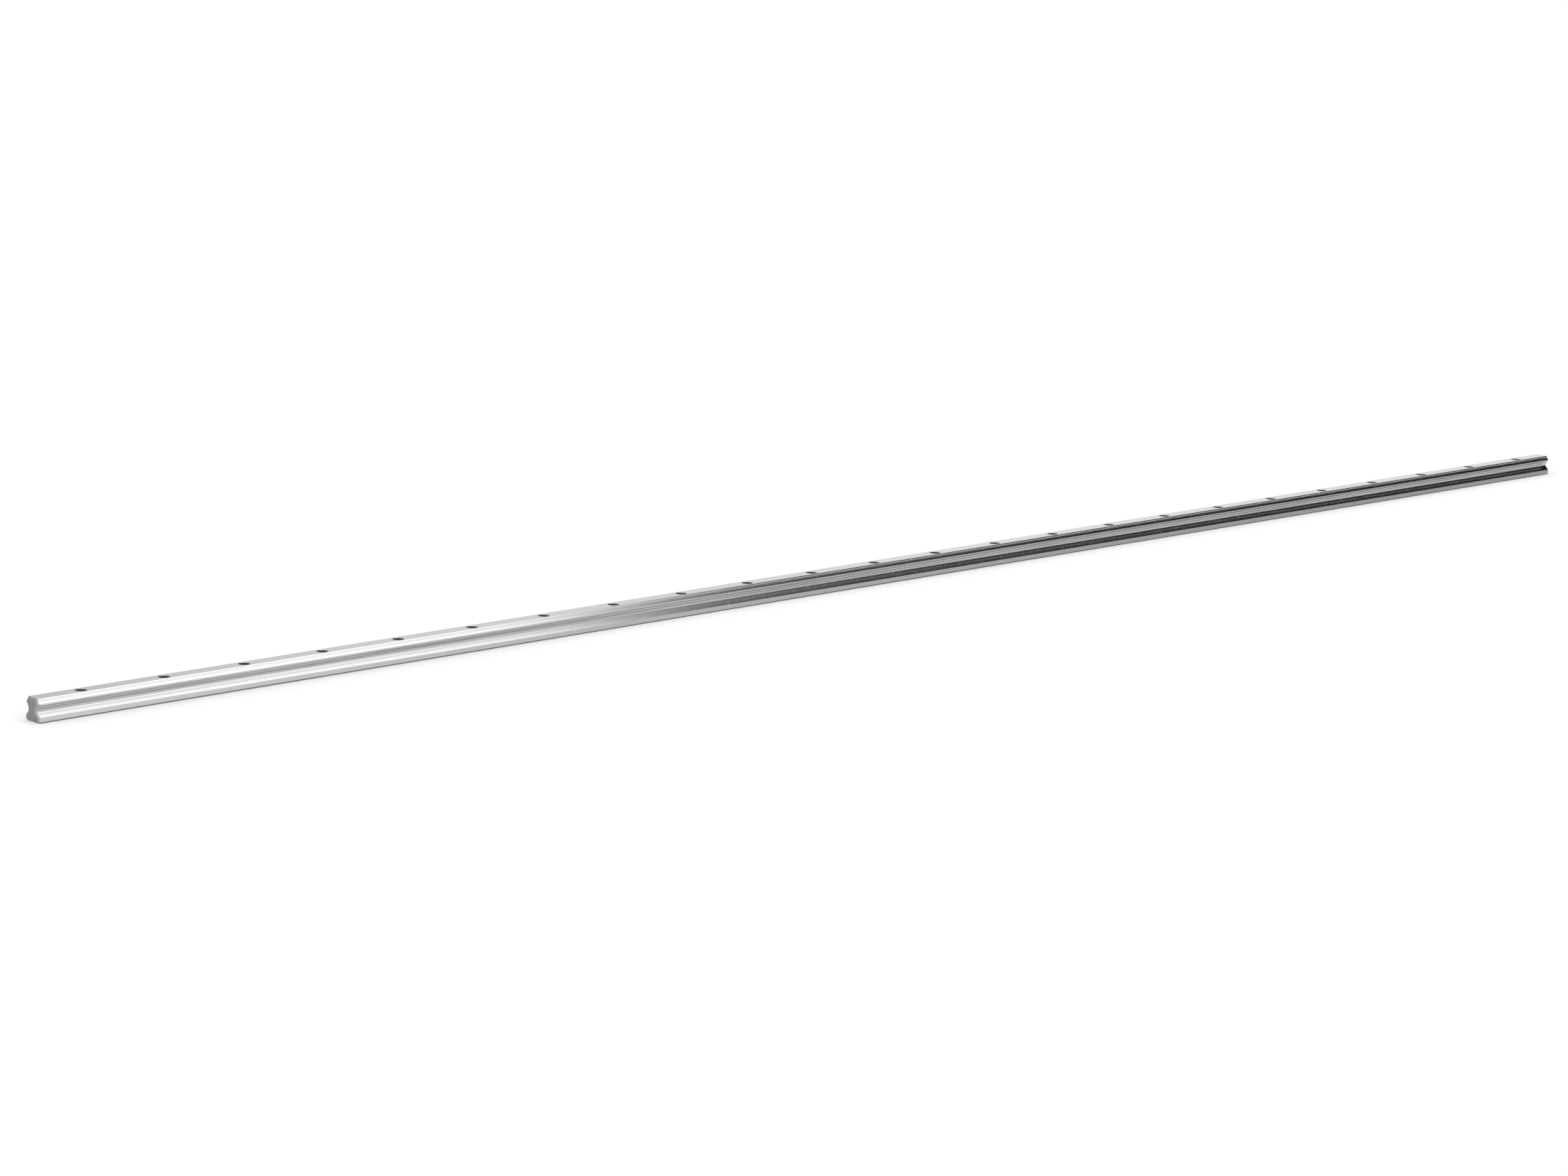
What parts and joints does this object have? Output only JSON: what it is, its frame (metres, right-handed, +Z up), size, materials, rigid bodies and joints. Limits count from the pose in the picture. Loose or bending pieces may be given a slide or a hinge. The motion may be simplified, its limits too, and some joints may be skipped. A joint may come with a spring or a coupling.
{
  "type": "profiled linear guide rail",
  "caption": "Straight ground steel guide rail with a waisted section, four ball tracks and counterbored bolt holes along its top.",
  "frame": {"origin": "middle of the base, on the mounting face", "axes": "+X along the rail, +Y across it, +Z up from the mounting face to the land on top"},
  "size_m": [1.45, 0.015, 0.015],
  "materials": {
    "guide_rail": "ground bright steel"
  },
  "bodies": {
    "root": {"guide_rail": "guide_rail"}
  },
  "joints": []
}
